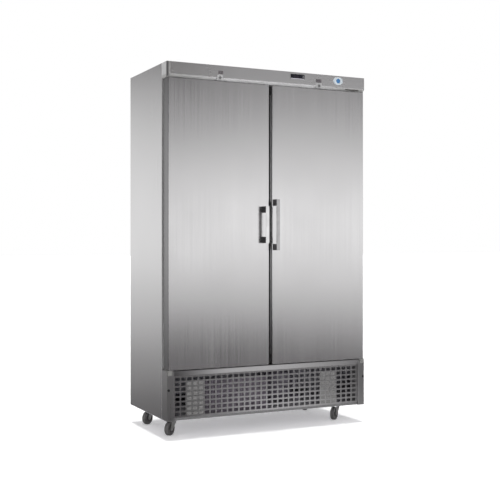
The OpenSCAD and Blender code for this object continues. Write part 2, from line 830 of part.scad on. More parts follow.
// A tube along a route of points, its corners taken in steps
function eased(p, r) = [
    p[0],
    for (i = [1:len(p) - 2])
        let (a = unit(p[i] - p[i - 1]), b = unit(p[i + 1] - p[i]))
            for (k = [0:4]) let (w = k / 4)
                p[i] - a * r * (1 - w) * (1 - w) + b * r * w * w,
    p[len(p) - 1]];
function heading(p, i) = unit(p[min(i + 1, len(p) - 1)] - p[max(i - 1, 0)]);
module tube(route, r) {
    p = eased(route, 4 * r);
    route_side = unit(cross(heading(p, 0), heading(p, len(p) - 1)));
    ring = [for (i = [0:len(p) - 1]) let (d = heading(p, i), u = unit(route_side - d * (route_side * d)),
        v = cross(d, u)) for (k = [0:pipe_sides - 1])
            p[i] + r * (u * cos(360 * k / pipe_sides) + v * sin(360 * k / pipe_sides))];
    n = len(p);
    polyhedron(ring, concat(
        [[for (k = [pipe_sides - 1:-1:0]) k]],
        [for (i = [0:n - 2], k = [0:pipe_sides - 1]) let (m = (k + 1) % pipe_sides, a = i * pipe_sides)
            [a + k, a + m, a + pipe_sides + m, a + pipe_sides + k]],
        [[for (k = [0:pipe_sides - 1]) (n - 1) * pipe_sides + k]]));
}

module refrigerant_pipes() color(copper) {
    y0 = cond_y + cond_d / 2;
    y1 = comp_y - comp_r - pipe_gap;
    y2 = comp_y + comp_r + pipe_gap;
    y3 = comp_y + comp_r + 40;
    tube([[cond_x + cond_w / 2, y0, pipe_z], [comp_x, y0, pipe_z], [comp_x, y1, pipe_z]], 4);
    tube([[comp_x, y2, pipe_z], [comp_x, y3, pipe_z], [comp_x, y3, z_foam0 - sheet]], 5);
}

module cable_gland() color(black) difference() {
    union() {
        rod_z(gland_x, gland_y, z_base - 16, z_base + pan_t + 5, gland_r);
        rod_z(gland_x, gland_y, z_base - 4, z_base, gland_r + 4);
        translate([gland_x, gland_y, z_base + pan_t]) cylinder(h = 6, r = gland_r + 5, $fn = 6);
    }
    rod_z(gland_x, gland_y, z_base - 17, z_base + 20, cord_r);
}

// Casters: each is drawn about its swivel axis with its brake side towards +X

module caster_at(side, rear) translate([
    side * (half - caster_in), rear ? y_back - caster_rear : y_door + caster_front, 0])
    rotate([0, 0, 90 - (rear ? rear_heading : front_heading)]) children();

module caster_plate() {
    x = plate_x / 2;
    y = plate_y / 2;
    along_z(z_base - plate_t, z_base) polygon(rounded(-x, -y, x, y, plate_r));
    rod_z(0, 0, z_race, z_base - plate_t, race_r);
    rod_z(0, 0, z_fork - race_gap - nut_h, z_race + 1, king_r);
    translate([0, 0, z_fork - race_gap - nut_h]) cylinder(h = nut_h, r = nut_r, $fn = 6);
    for (i = [-1, 1], j = [-1, 1])
        translate([i * (x - bolt_in), j * (y - bolt_in), z_base - plate_t - bolt_h])
            cylinder(h = bolt_h, r = bolt_r, $fn = 6);
}

module caster_plates() color(zinc)
    for (s = [-1, 1], rear = [false, true]) translate([
        s * (half - caster_in), rear ? y_back - caster_rear : y_door + caster_front, 0]) caster_plate();

module fork_leg(braked) rotate([90, 0, 0]) linear_extrude(leg_sheet) {
    top = z_fork + 1;
    tail = [[4, -7], [8, 0], [6, top - pedal_pivot[1]]];
    polygon(concat(
        [[-trail * 0.75, top], [-trail - leg_r, axle_z]],
        arc([-trail, axle_z], leg_r, 180, 330),
        braked ? [for (p = tail) pedal_pivot + p] : [[race_r * 0.6, top]]));
}

module caster_fork(braked) {
    w = leg_in + leg_sheet;
    difference() {
        union() {
            rod_z(0, 0, z_fork, z_fork + fork_t, race_r);
            for (y = [w, -leg_in]) translate([0, y, 0]) fork_leg(braked);
            block([-race_r * 0.7, -w, z_fork], [race_r * 0.7, w, z_fork + fork_t]);
        }
        rod_z(0, 0, z_fork - 1, z_fork + fork_t + 1, king_r + fit);
    }
    rod_y(-trail, axle_z, -w - 4, w + 4, axle_r);
    if (braked) rod_y(pedal_pivot[0], pedal_pivot[1], -w - 1, w + 1, pedal_pin_r);
}

// A wheel with its soft tread pressed flat where it stands
module caster_wheel() translate([-trail, 0, axle_z]) {
    w = wheel_w / 2;
    r = wheel_d / 2 + tread_flat;
    hub = leg_in - hub_gap;
    difference() {
        rotate([90, 0, 0]) rotate_extrude() polygon(concat(
            [[axle_r + fit, -hub], [hub_r, -hub], [hub_r, dish - w],
             [r - rim_w - 2, dish - w], [r - rim_w, -w]],
            arc([r - tread_r, tread_r - w], tread_r, -90, 0),
            arc([r - tread_r, w - tread_r], tread_r, 0, 90),
            [[r - rim_w, w], [r - rim_w - 2, w - dish], [hub_r, w - dish],
             [hub_r, hub], [axle_r + fit, hub]]));
        block([-r, -w - 1, -axle_z - 1], [r, w + 1, -axle_z]);
    }
}

module brake_pedal() {
    x = pedal_pivot[0];
    z = pedal_pivot[1];
    w = leg_in - hub_gap;
    difference() {
        union() {
            rod_y(x, z, -w, w, pedal_pin_r + 2);
            translate([0, w, 0]) rotate([90, 0, 0]) linear_extrude(2 * w) polygon([
                [x + 2, z + 4], [x + 2, z - 2], [pedal_end - 26, z - 4], [pedal_end - 12, z - 8],
                [pedal_end - 2, z - 9], [pedal_end, z - 6], [pedal_end - 6, z - 1],
                [pedal_end - 20, z + 2]]);
        }
        rod_y(x, z, -w - 1, w + 1, pedal_pin_r + fit);
    }
}

base_pan();
color(steel) base_post();  // base_post_left
color(steel) twin(1) base_post();  // base_post_right
grille_panel();
grille_screws();
color(steel) side_panel();  // side_panel_left
color(steel) twin(1) side_panel();  // side_panel_right
rear_panel();
machine_cover();
cable_gland();
top_panel();
machine_roof();
insulation();
inner_liner();
front_frame();
mullion();
fascia();
controller_case();
controller_window();
controller_key(key_z[0]);  // controller_key_up
controller_key(key_z[1]);  // controller_key_down
lock_housings();
color(dark) lock_barrel();  // lock_barrel_left
color(dark) twin(1) lock_barrel();  // lock_barrel_right
hinge_brackets();
rack_uprights();
shelf_runners();
shelves(0);  // shelves_1
shelves(1);  // shelves_2
shelves(2);  // shelves_3
shelves(3);  // shelves_4
evaporator_cover();
evaporator_fan();
compressor();
condenser();
condenser_shroud();
condenser_fan();
drip_tray();
refrigerant_pipes();
caster_plates();
color(dark) caster_at(-1, false) caster_fork(true);  // caster_fork_front_left
color(dark) caster_at(1, false) caster_fork(true);  // caster_fork_front_right
color(dark) caster_at(-1, true) caster_fork(false);  // caster_fork_rear_left
color(dark) caster_at(1, true) caster_fork(false);  // caster_fork_rear_right
color(zinc) caster_at(-1, false) caster_wheel();  // caster_wheel_front_left
color(zinc) caster_at(1, false) caster_wheel();  // caster_wheel_front_right
color(zinc) caster_at(-1, true) caster_wheel();  // caster_wheel_rear_left
color(zinc) caster_at(1, true) caster_wheel();  // caster_wheel_rear_right
color(black) caster_at(-1, false) brake_pedal();  // brake_pedal_left
color(black) caster_at(1, false) brake_pedal();  // brake_pedal_right
color(steel) door_skin();  // door_skin_left
color(white) door_core();  // door_core_left
color(dark) door_gasket();  // door_gasket_left
handle_blocks(handle_in_left, handle_len_left);  // handle_blocks_left
handle_grip(handle_in_left, handle_len_left);  // handle_grip_left
color(steel) twin(1) door_skin();  // door_skin_right
color(white) twin(1) door_core();  // door_core_right
color(dark) twin(1) door_gasket();  // door_gasket_right
twin(1) handle_blocks(handle_in_right, handle_len_right);  // handle_blocks_right
twin(1) handle_grip(handle_in_right, handle_len_right);  // handle_grip_right
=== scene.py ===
# Upright two door catering refrigerator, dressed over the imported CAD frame.
# Metres, in the frame of the CAD: X across the front, Y to the back, Z up, floor at 0.

import math

import bmesh
import bpy
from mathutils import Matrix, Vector


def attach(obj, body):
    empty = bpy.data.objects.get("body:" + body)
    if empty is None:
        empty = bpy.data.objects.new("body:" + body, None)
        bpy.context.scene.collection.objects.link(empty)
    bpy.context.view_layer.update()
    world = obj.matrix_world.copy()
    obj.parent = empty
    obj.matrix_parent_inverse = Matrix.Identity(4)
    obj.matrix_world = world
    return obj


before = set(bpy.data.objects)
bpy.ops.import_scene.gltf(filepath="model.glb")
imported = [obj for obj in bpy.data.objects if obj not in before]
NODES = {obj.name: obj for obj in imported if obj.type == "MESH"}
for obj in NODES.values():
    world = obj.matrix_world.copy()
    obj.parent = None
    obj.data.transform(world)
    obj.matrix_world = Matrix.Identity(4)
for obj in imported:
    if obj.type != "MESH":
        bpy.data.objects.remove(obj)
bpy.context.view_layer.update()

# The face of the control panel, and the sloped strip along its lower edge
FRONT = -0.280
SLOPE_Z = 1.961
STRIP_H = 0.016
STRIP_D = 0.014
# The grille's stays lie behind this plane and below this height
STAY_Y = -0.2654
STAY_Z = 0.315
# The left corner of the control panel begins here
CORNER_X = -0.612
CORNER_Y = -0.268


# Shader helpers

def new_material(name):
    """A material with an empty node tree, and its output node."""
    m = bpy.data.materials.new(name)
    m.use_nodes = True
    m.node_tree.nodes.clear()
    return m, m.node_tree, m.node_tree.nodes.new("ShaderNodeOutputMaterial")


def add(tree, kind, inputs=None, **properties):
    """A node with its properties set, and with input values by name or by place."""
    n = tree.nodes.new(kind)
    for key, value in properties.items():
        setattr(n, key, value)
    for key, value in (inputs or {}).items():
        n.inputs[key].default_value = value
    return n


def link(tree, a, out, b, inp):
    tree.links.new(a.outputs[out], b.inputs[inp])


def object_place(tree, stretch):
    """The object's own coordinates in metres, stretched along each axis."""
    tc = add(tree, "ShaderNodeTexCoord")
    mp = add(tree, "ShaderNodeMapping", {"Scale": stretch})
    link(tree, tc, "Object", mp, "Vector")
    return mp


def axes(tree, kind="Object"):
    """The three parts of the object's own coordinates or normal."""
    tc = add(tree, "ShaderNodeTexCoord")
    split = add(tree, "ShaderNodeSeparateXYZ")
    link(tree, tc, kind, split, 0)
    return split


def coordinate(tree, axis, kind="Object"):
    """One part of the object's own coordinates or normal, its sign dropped."""
    size = add(tree, "ShaderNodeMath", operation="ABSOLUTE")
    link(tree, axes(tree, kind), axis, size, 0)
    return size


def noise(tree, scale, detail=4.0, rough=0.55, stretch=(1, 1, 1)):
    """Noise in the object's own coordinates."""
    n = add(tree, "ShaderNodeTexNoise", {"Scale": scale, "Detail": detail, "Roughness": rough})
    link(tree, object_place(tree, stretch), "Vector", n, "Vector")
    return n


def spread(tree, source, low, high):
    """The noise's range from 0.3 to 0.7 taken to low and high."""
    r = add(tree, "ShaderNodeMapRange", {"From Min": 0.3, "From Max": 0.7, "To Min": low, "To Max": high})
    link(tree, source, "Fac", r, "Value")
    return r


def tone(tree, source, colour, share, out="Fac"):
    """The colour made darker and lighter by a share, as the source's range goes from 0.3 to 0.7."""
    c = add(tree, "ShaderNodeValToRGB")
    low, high = c.color_ramp.elements
    low.position = 0.3
    low.color = (*[v * (1 - share) for v in colour], 1)
    high.position = 0.7
    high.color = (*[min(v * (1 + share), 1) for v in colour], 1)
    link(tree, source, out, c, "Fac")
    return c


def shader(tree, out, **values):
    """The main shader, linked to the material's output."""
    b = add(tree, "ShaderNodeBsdfPrincipled", values)
    link(tree, b, "BSDF", out, "Surface")
    return b


def bump(tree, b, source, strength, distance):
    """Relief from the noise, its depth in metres."""
    n = add(tree, "ShaderNodeBump", {"Strength": strength, "Distance": distance})
    link(tree, source, "Fac", n, "Height")
    link(tree, n, "Normal", b, "Normal")


def step(tree, source, edge, soft, out="Value"):
    """0 below the edge and 1 above it, with a soft change; the other way round if soft is negative."""
    r = add(tree, "ShaderNodeMapRange", {"From Min": edge - soft, "From Max": edge + soft})
    link(tree, source, out, r, "Value")
    return r


def combined(tree, a, b, operation):
    """One share made from two."""
    n = add(tree, "ShaderNodeMath", operation=operation)
    link(tree, a, "Result", n, 0)
    link(tree, b, "Result", n, 1)
    return step(tree, n, 0.5, 0.5)


def both(tree, a, b):
    """1 only where both shares are 1."""
    return combined(tree, a, b, "MULTIPLY")


def either(tree, a, b):
    """The larger of two shares."""
    return combined(tree, a, b, "MAXIMUM")


def blend(tree, share, a, b):
    """The output of a mix that has the first colour where the share is 0 and the second where it is 1."""
    m = add(tree, "ShaderNodeMix", data_type="RGBA")
    link(tree, share, "Result", m, "Factor")
    tree.links.new(a, m.inputs[6])
    tree.links.new(b, m.inputs[7])
    return m.outputs[2]


# Materials

# Second colours of a sheet for faces that meet the light from another side than its front, most of them
# painted shade where darker and painted light where lighter, as noted at each
# Painted shade: the doors' outer side faces darker than their fronts
DOOR_SIDE_SHADE = (0.20, 0.197, 0.20)
# Painted light: the doors' inner side faces, in the gap between the doors, lighter than their fronts
DOOR_INNER_SIDE_LIGHT = (0.93, 0.928, 0.93)
# Painted shade: the side panels' front flanges behind the doors darker
SIDE_FLANGE_SHADE = (0.24, 0.238, 0.24)
# Painted light: the grips' faces towards the doors matt and pale
GRIP_BACK_LIGHT = (0.80, 0.797, 0.80)
# Painted light: the machine cover pale inside the machine compartment
COVER_INSIDE_LIGHT = (0.80, 0.77, 0.84)
# Painted shade: the base pan's front lip darker
PAN_LIP_SHADE = (0.17, 0.168, 0.17)
# Painted shade: the control panel's end faces darker
FASCIA_END_SHADE = (0.54, 0.538, 0.54)
# Painted shade: the control panel darker towards its left end
FASCIA_LEFT_SHADE = (0.755, 0.75, 0.744)
# Painted shade: the grille darker towards its left end
GRILLE_LEFT_SHADE = (0.42, 0.415, 0.42)
# Painted reflection: the sloped strip matt and pale in place of the bright reflection along it; painted
# shade: its ends darker
FASCIA_STRIP_REFLECTION = (0.60, 0.597, 0.60)
FASCIA_STRIP_END_SHADE = (0.38, 0.377, 0.37)
# Painted shade: the control panel's left corner dark
FASCIA_CORNER_SHADE = (0.09, 0.088, 0.09)
STAY = (0.19, 0.188, 0.185)
# Where the painted shade at the left ends of the control panel and of the grille fades out, as a middle and
# a half width
FASCIA_SHADE_FADE = (-0.4, -0.2)
GRILLE_SHADE_FADE = (-0.48, -0.1)
# What the roughness gains on matt faces and on the doors' inner side faces
MATT_MORE = 0.35
INNER_SIDE_MORE = -0.07
# The brushing of steel: how fast it changes along its grain and across it
GRAIN_ALONG = 1.2
GRAIN_ACROSS = 320.0


def brushed(name, colour, grain, rough=(0.19, 0.27), share=0.035, relief=0.12):
    """Brushed sheet steel, its grain running along one axis."""
    m, t, out = new_material(name)
    stretch = [GRAIN_ACROSS, GRAIN_ACROSS, GRAIN_ACROSS]
    stretch["XYZ".index(grain)] = GRAIN_ALONG
    lines = noise(t, 1.0, 6.0, 0.6, stretch)
    cloud = noise(t, 2.3, 3.0, 0.5)
    b = shader(t, out, Metallic=1.0)
    link(t, tone(t, lines, colour, share), "Color", b, "Base Color")
    r = add(t, "ShaderNodeMath", operation="ADD")
    link(t, spread(t, lines, *rough), "Result", r, 0)
    link(t, spread(t, cloud, -0.015, 0.015), "Result", r, 1)
    link(t, r, "Value", b, "Roughness")
    bump(t, b, lines, relief, 0.00015)
    return m


def recolour(m, share, colour):
    """A second colour of the same material wherever the share is 1."""
    t = m.node_tree
    b = next(n for n in t.nodes if n.type == "BSDF_PRINCIPLED")
    first = b.inputs["Base Color"].links[0].from_socket
    second = tone(t, noise(t, 60, 3), colour, 0.04).outputs["Color"]
    t.links.new(blend(t, share, first, second), b.inputs["Base Color"])
    return b


def recolour_matt(m, share, colour):
    """A second colour without metal or shine wherever the share is 1."""
    matt_where(m.node_tree, recolour(m, share, colour), share)


def matt_where(t, b, share):
    """Takes the metal and the shine out of the shader wherever the share is 1."""
    metal = add(t, "ShaderNodeMath", {0: 1.0}, operation="SUBTRACT", use_clamp=True)
    link(t, share, "Result", metal, 1)
    link(t, metal, "Value", b, "Metallic")
    roughen_where(t, b, share, MATT_MORE)


def roughen_where(t, b, share, more):
    """Changes the roughness wherever the share is 1."""
    rough = add(t, "ShaderNodeMath", {1: more}, operation="MULTIPLY_ADD", use_clamp=True)
    link(t, share, "Result", rough, 0)
    t.links.new(b.inputs["Roughness"].links[0].from_socket, rough.inputs[2])
    link(t, rough, "Value", b, "Roughness")


def door_steel(name, colour):
    """Brushed door skin, its outer side faces darker than its front as painted shade, and its inner ones
    lighter as painted light and smoother.
    """
    m = brushed(name, colour, "Z", (0.17, 0.24))
    t = m.node_tree
    sides = step(t, coordinate(t, "X", "Normal"), 0.4, 0.3)
    recolour(m, both(t, sides, step(t, coordinate(t, "X"), 0.3, 0.2)), DOOR_SIDE_SHADE)
    # Painted light on the inner side faces in the gap between the doors
    inner = both(t, sides, step(t, coordinate(t, "X"), 0.3, -0.2))
    roughen_where(t, recolour(m, inner, DOOR_INNER_SIDE_LIGHT), inner, INNER_SIDE_MORE)
    return m


def grip_steel(name, colour):
    """Polished grip, its face towards the door matt and pale as painted light."""
    m = polished(name, colour, (0.12, 0.22))
    t = m.node_tree
    recolour_matt(m, step(t, axes(t, "Normal"), 0.6, 0.3, "Y"), GRIP_BACK_LIGHT)
    return m


def cover_zinc(name, colour):
    """Galvanised cover, matt and pale violet on the side of the machines, as painted light inside the
    compartment.
    """
    m = galvanised(name, colour)
    t = m.node_tree
    recolour_matt(m, step(t, axes(t, "Normal"), -0.6, -0.3, "Y"), COVER_INSIDE_LIGHT)
    return m


def pan_paint(name, colour):
    """Painted base pan, its front lip darker as painted shade."""
    m = painted(name, colour, (0.45, 0.55))
    t = m.node_tree
    recolour(m, step(t, coordinate(t, "Y", "Normal"), 0.6, 0.3), PAN_LIP_SHADE)
    return m


def side_steel(name, colour):
    """Brushed side panel, its front flange behind the door matt and darker as painted shade."""
    m = brushed(name, colour, "Z")
    t = m.node_tree
    recolour_matt(m, step(t, coordinate(t, "Y", "Normal"), 0.6, 0.3), SIDE_FLANGE_SHADE)
    return m


def fascia_steel(name, colour):
    """Brushed control panel: painted shade darker to the left, on its end faces and in its left corner, the
    last two matt; its lower strip matt and pale as a painted reflection, with painted shade at its ends.
    """
    m = brushed(name, colour, "X", (0.272, 0.279), 0.008, 0.004)
    t = m.node_tree
    where = axes(t)
    # Painted shade towards the left end
    recolour(m, step(t, where, *FASCIA_SHADE_FADE, "X"), FASCIA_LEFT_SHADE)
    # Painted shade on the end faces
    ends = step(t, coordinate(t, "X", "Normal"), 0.6, 0.3)
    recolour(m, ends, FASCIA_END_SHADE)
    # Painted reflection on the sloped strip, and painted shade at its ends
    strip = step(t, coordinate(t, "Z"), SLOPE_Z + STRIP_H, -0.0008)
    recolour(m, strip, FASCIA_STRIP_REFLECTION)
    recolour(m, both(t, strip, step(t, coordinate(t, "X"), 0.42, 0.14)), FASCIA_STRIP_END_SHADE)
    # Painted shade in the left corner
    corner = both(t, step(t, where, CORNER_X, -0.007, "X"), step(t, where, CORNER_Y, -0.006, "Y"))
    b = recolour(m, corner, FASCIA_CORNER_SHADE)
    matt_where(t, b, either(t, either(t, ends, strip), corner))
    return m


def grille_steel(name, colour):
    """Brushed sheet, darker to the left as painted shade, the stays behind it duller."""
    m = brushed(name, colour, "X", (0.26, 0.34), 0.02, 0.03)
    t = m.node_tree
    where = axes(t)
    # Painted shade towards the left end
    recolour(m, step(t, where, *GRILLE_SHADE_FADE, "X"), GRILLE_LEFT_SHADE)
    stays = both(t, step(t, where, STAY_Y, 0.0002, "Y"), step(t, where, STAY_Z, -0.001, "Z"))
    recolour_matt(m, stays, STAY)
    return m


def galvanised(name, colour):
    """Zinc with a faint spangle."""
    m, t, out = new_material(name)
    v = add(t, "ShaderNodeTexVoronoi", {"Scale": 70.0})
    link(t, object_place(t, (1, 1, 1)), "Vector", v, "Vector")
    b = shader(t, out, Metallic=1.0)
    link(t, tone(t, v, colour, 0.05, "Color"), "Color", b, "Base Color")
    link(t, spread(t, noise(t, 40, 4), 0.36, 0.5), "Result", b, "Roughness")
    bump(t, b, noise(t, 240, 3), 0.1, 0.0002)
    return m


def coated(name, colour, rough, share, cloud, grain, relief, depth, spec=0.5):
    """A surface without metal: its colour by a cloud noise, its shine and relief by a finer grain."""
    m, t, out = new_material(name)
    b = shader(t, out)
    b.inputs["Specular IOR Level"].default_value = spec
    link(t, tone(t, noise(t, *cloud), colour, share), "Color", b, "Base Color")
    n = noise(t, *grain)
    link(t, spread(t, n, *rough), "Result", b, "Roughness")
    bump(t, b, n, relief, depth)
    return m


def plastic(name, colour, rough=(0.38, 0.5), grain=900.0, depth=0.00008, share=0.05, spec=0.5):
    """Moulded plastic with a fine spark eroded grain."""
    return coated(name, colour, rough, share, (14, 4), (grain, 3), 0.35, depth, spec)


def painted(name, colour, rough=(0.34, 0.46)):
    """Powder coat with its slight orange peel."""
    return coated(name, colour, rough, 0.06, (9, 3), (420, 2), 0.3, 0.00015)


def rubber(name, colour):
    """Dull rubber with a coarse grain."""
    return coated(name, colour, (0.55, 0.75), 0.15, (35, 5), (700, 3), 0.4, 0.0001)


def polished(name, colour, rough):
    """Smooth metal without a grain."""
    m, t, out = new_material(name)
    b = shader(t, out, Metallic=1.0)
    n = noise(t, 30, 4)
    link(t, tone(t, n, colour, 0.03), "Color", b, "Base Color")
    link(t, spread(t, n, *rough), "Result", b, "Roughness")
    bump(t, b, noise(t, 500, 2), 0.05, 0.0001)
    return m


M = {
    "steel_door": door_steel("steel_door", (0.88, 0.876, 0.88)),
    "steel_side": side_steel("steel_side", (0.67, 0.668, 0.67)),
    "steel_front": fascia_steel("steel_front", (0.88, 0.877, 0.88)),
    "steel_grille": grille_steel("steel_grille", (0.51, 0.505, 0.51)),
    "steel_post": brushed("steel_post", (0.45, 0.447, 0.45), "Z", (0.28, 0.36)),
    "steel_mullion": brushed("steel_mullion", (0.76, 0.757, 0.76), "Z", (0.09, 0.13)),
    "steel_lock": painted("lock_housing_finish", (0.44, 0.438, 0.44), (0.4, 0.5)),
    "barrel": painted("lock_barrel_metal", (0.15, 0.148, 0.15), (0.3, 0.4)),
    "bracket": painted("bracket_paint", (0.23, 0.227, 0.22), (0.4, 0.5)),
    "rack": brushed("rack_steel", (0.72, 0.72, 0.71), "Z", (0.25, 0.33)),
    "wire": polished("shelf_wire", (0.78, 0.78, 0.77), (0.18, 0.28)),
    "liner": brushed("liner_sheet", (0.80, 0.81, 0.81), "Z", (0.34, 0.42), 0.02),
    "zinc": galvanised("galvanised_sheet", (0.56, 0.57, 0.58)),
    "plate_zinc": galvanised("caster_plate_zinc", (0.66, 0.66, 0.65)),
    "cover": cover_zinc("cover_zinc", (0.56, 0.57, 0.58)),
    "pan": pan_paint("base_pan_paint", (0.62, 0.60, 0.65)),
    "grip_left": grip_steel("left_grip_steel", (0.86, 0.86, 0.86)),
    # Painted shade: the right grip a darker copy of the left grip's steel
    "grip_right": grip_steel("right_grip_steel_painted_shade", (0.50, 0.497, 0.50)),
    # Painted light: the right handle's blocks a lighter copy of the black plastic
    "block_right_painted_light": plastic("right_block_plastic_painted_light", (0.09, 0.086, 0.09), (0.42, 0.52), spec=0.25),
    "black": plastic("black_plastic", (0.016, 0.015, 0.018), (0.42, 0.52), spec=0.25),
    "key": plastic("key_plastic", (0.13, 0.13, 0.14), (0.4, 0.5)),
    "window": plastic("smoked_window", (0.012, 0.012, 0.02), (0.06, 0.1), 60.0, 0.00001),
    "frame": plastic("frame_plastic", (0.25, 0.247, 0.25)),
    "white": plastic("white_plastic", (0.80, 0.80, 0.79), (0.32, 0.42), 600.0, 0.00006, 0.02),
    "door_panel": plastic("door_panel_plastic", (0.80, 0.80, 0.79), (0.3, 0.4), 700.0, 0.00006, 0.02),
    "foam": plastic("cut_foam", (0.86, 0.78, 0.55), (0.8, 0.9), 300.0, 0.0006),
    "gasket": rubber("door_gasket_rubber", (0.36, 0.355, 0.36)),
    "insulated": rubber("pipe_insulation", (0.030, 0.027, 0.036)),
    "wheel": plastic("wheel_rubber", (0.135, 0.132, 0.13), (0.5, 0.65), 500.0, 0.0001, spec=0.3),
    "blackmetal": painted("black_metal", (0.020, 0.020, 0.022)),
    "condenser": painted("condenser_paint", (0.42, 0.375, 0.44), (0.4, 0.5)),
    "enamel": painted("compressor_enamel", (0.42, 0.385, 0.46), (0.3, 0.4)),
    "badge": plastic("badge_plate", (0.60, 0.66, 0.70), (0.2, 0.3), 200.0, 0.00002, 0.03),
    "blue": plastic("badge_disc", (0.070, 0.20, 0.42), (0.2, 0.3), 200.0, 0.00002, 0.05),
    "label": plastic("label_plate", (0.13, 0.118, 0.125), (0.4, 0.5), 400.0, 0.00003, 0.05, 0.25),
    "grey_plate": plastic("strip_plate", (0.09, 0.085, 0.082), (0.35, 0.45), 400.0, 0.00003, 0.05, 0.25),
    "digit": plastic("display_segment", (0.055, 0.040, 0.055), (0.3, 0.4), 300.0, 0.00001),
    "mark": plastic("key_mark", (0.72, 0.70, 0.76), (0.4, 0.5), 300.0, 0.00001),
}

FINISH = {
    "pan": ["base_pan"],
    "steel_post": ["base_post_left", "base_post_right"],
    "steel_grille": ["grille_panel"],
    "steel_side": ["side_panel_left", "side_panel_right"],
    "steel_front": ["fascia"],
    "steel_mullion": ["mullion"],
    "steel_lock": ["lock_housings"],
    "steel_door": ["door_skin_left", "door_skin_right"],
    "barrel": ["lock_barrel_left", "lock_barrel_right"],
    "bracket": ["hinge_brackets"],
    "rack": ["rack_uprights", "shelf_runners"],
    "wire": ["shelves_1", "shelves_2", "shelves_3", "shelves_4"],
    "liner": ["inner_liner"],
    "zinc": ["rear_panel", "top_panel", "machine_roof"],
    "cover": ["machine_cover"],
    "plate_zinc": ["caster_plates", "caster_fork_front_left", "caster_fork_front_right",
                   "caster_fork_rear_left", "caster_fork_rear_right"],
    "wheel": ["caster_wheel_front_left", "caster_wheel_front_right",
              "caster_wheel_rear_left", "caster_wheel_rear_right"],
    "blackmetal": ["grille_screws", "condenser_shroud", "condenser_fan"],
    "condenser": ["condenser"],
    "enamel": ["compressor"],
    "insulated": ["refrigerant_pipes"],
    "black": ["cable_gland", "controller_case", "evaporator_fan", "drip_tray",
              "brake_pedal_left", "brake_pedal_right", "handle_blocks_left"],
    "block_right_painted_light": ["handle_blocks_right"],
    "grip_left": ["handle_grip_left"],
    "grip_right": ["handle_grip_right"],
    "key": ["controller_key_up", "controller_key_down"],
    "window": ["controller_window"],
    "white": ["evaporator_cover"],
    "frame": ["front_frame"],
    "foam": ["insulation"],
    "door_panel": ["door_core_left", "door_core_right"],
    "gasket": ["door_gasket_left", "door_gasket_right"],
}
for key, names in FINISH.items():
    for name in names:
        o = NODES[name]
        if not o.material_slots:
            o.data.materials.append(M[key])
        for s in o.material_slots:
            s.material = M[key]


# Pieces that only the looks need

def finish_piece(name, bm, key, body, smooth=False, bevel=0.0):
    """An object from a mesh that rides on a body."""
    mesh = bpy.data.meshes.new(name)
    bmesh.ops.recalc_face_normals(bm, faces=bm.faces)
    bm.to_mesh(mesh)
    bm.free()
    o = bpy.data.objects.new(name, mesh)
    bpy.context.scene.collection.objects.link(o)
    mesh.materials.append(M[key])
    for p in mesh.polygons:
        p.use_smooth = smooth
    if bevel:
        b = o.modifiers.new("edge", "BEVEL")
        b.width = bevel
        b.segments = 3
        b.limit_method = "ANGLE"
        b.harden_normals = True
    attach(o, body)


def oval(centre, rx, rz, n, power=2.0):
    """Points of an oval in X and Z; a higher power makes it squarer."""
    pts = []
    for k in range(n):
        a = 2 * math.pi * k / n
        c, s = math.cos(a), math.sin(a)
        pts.append((centre[0] + rx * math.copysign(abs(c) ** (2 / power), c),
                    centre[1] + rz * math.copysign(abs(s) ** (2 / power), s)))
    return pts


DOME_RINGS = 5
DOME_RIM = 0.06
DOME_FLAT = 0.154


def domed_plate(bm, outline, centre, y, rise, edge):
    """A plate standing out from the plane y towards the front, its face slightly domed."""
    base = [bm.verts.new((x, y, z)) for x, z in outline]
    last = base
    for r in range(DOME_RINGS + 1):
        share = r / (DOME_RINGS + 1)
        size = 1.0
        if r:
            size = 1 - DOME_RIM - (1 - DOME_FLAT) * (r - 1) / DOME_RINGS
        lift = edge + rise * (1 - (1 - share) ** 2)
        ring = [bm.verts.new((centre[0] + (x - centre[0]) * size, y - lift,
                              centre[1] + (z - centre[1]) * size)) for x, z in outline]
        for i in range(len(ring)):
            j = (i + 1) % len(ring)
            bm.faces.new((last[i], last[j], ring[j], ring[i]))
        last = ring
    bm.faces.new(last)
    bm.faces.new(list(reversed(base)))


def prism(bm, outline, y, thick):
    """A flat piece with an outline in X and Z, from the plane y towards the front."""
    a = [bm.verts.new((x, y, z)) for x, z in outline]
    b = [bm.verts.new((x, y - thick, z)) for x, z in outline]
    for i in range(len(a)):
        j = (i + 1) % len(a)
        bm.faces.new((a[i], a[j], b[j], b[i]))
    bm.faces.new(list(reversed(a)))
    bm.faces.new(b)


def plate(bm, x0, x1, z0, z1, y, thick, r):
    """A thin plate with round corners on the plane y."""
    pts = []
    corners = ((x1 - r, z1 - r), (x0 + r, z1 - r), (x0 + r, z0 + r), (x1 - r, z0 + r))
    for quarter, (cx, cz) in enumerate(corners):
        for k in range(7):
            a = math.radians(90 * quarter + 15 * k)
            pts.append((cx + r * math.cos(a), cz + r * math.sin(a)))
    prism(bm, pts, y, thick)


def lay_on_slope(bm):
    """Turns what was drawn round the origin on the plane y = 0 onto the fascia's sloped strip."""
    angle = math.atan2(STRIP_D, STRIP_H)
    c, s = math.cos(angle), math.sin(angle)
    for v in bm.verts:
        y, z = v.co.y, v.co.z
        v.co.y = FRONT + STRIP_D / 2 + y * c - z * s
        v.co.z = SLOPE_Z + STRIP_H / 2 + y * s + z * c


def segment(bm, x, z, w, h):
    """A bar of a digit, on the display's window."""
    plate(bm, x - w / 2, x + w / 2, z - h / 2, z + h / 2, WINDOW_Y, 0.0002, min(w, h) * 0.35)


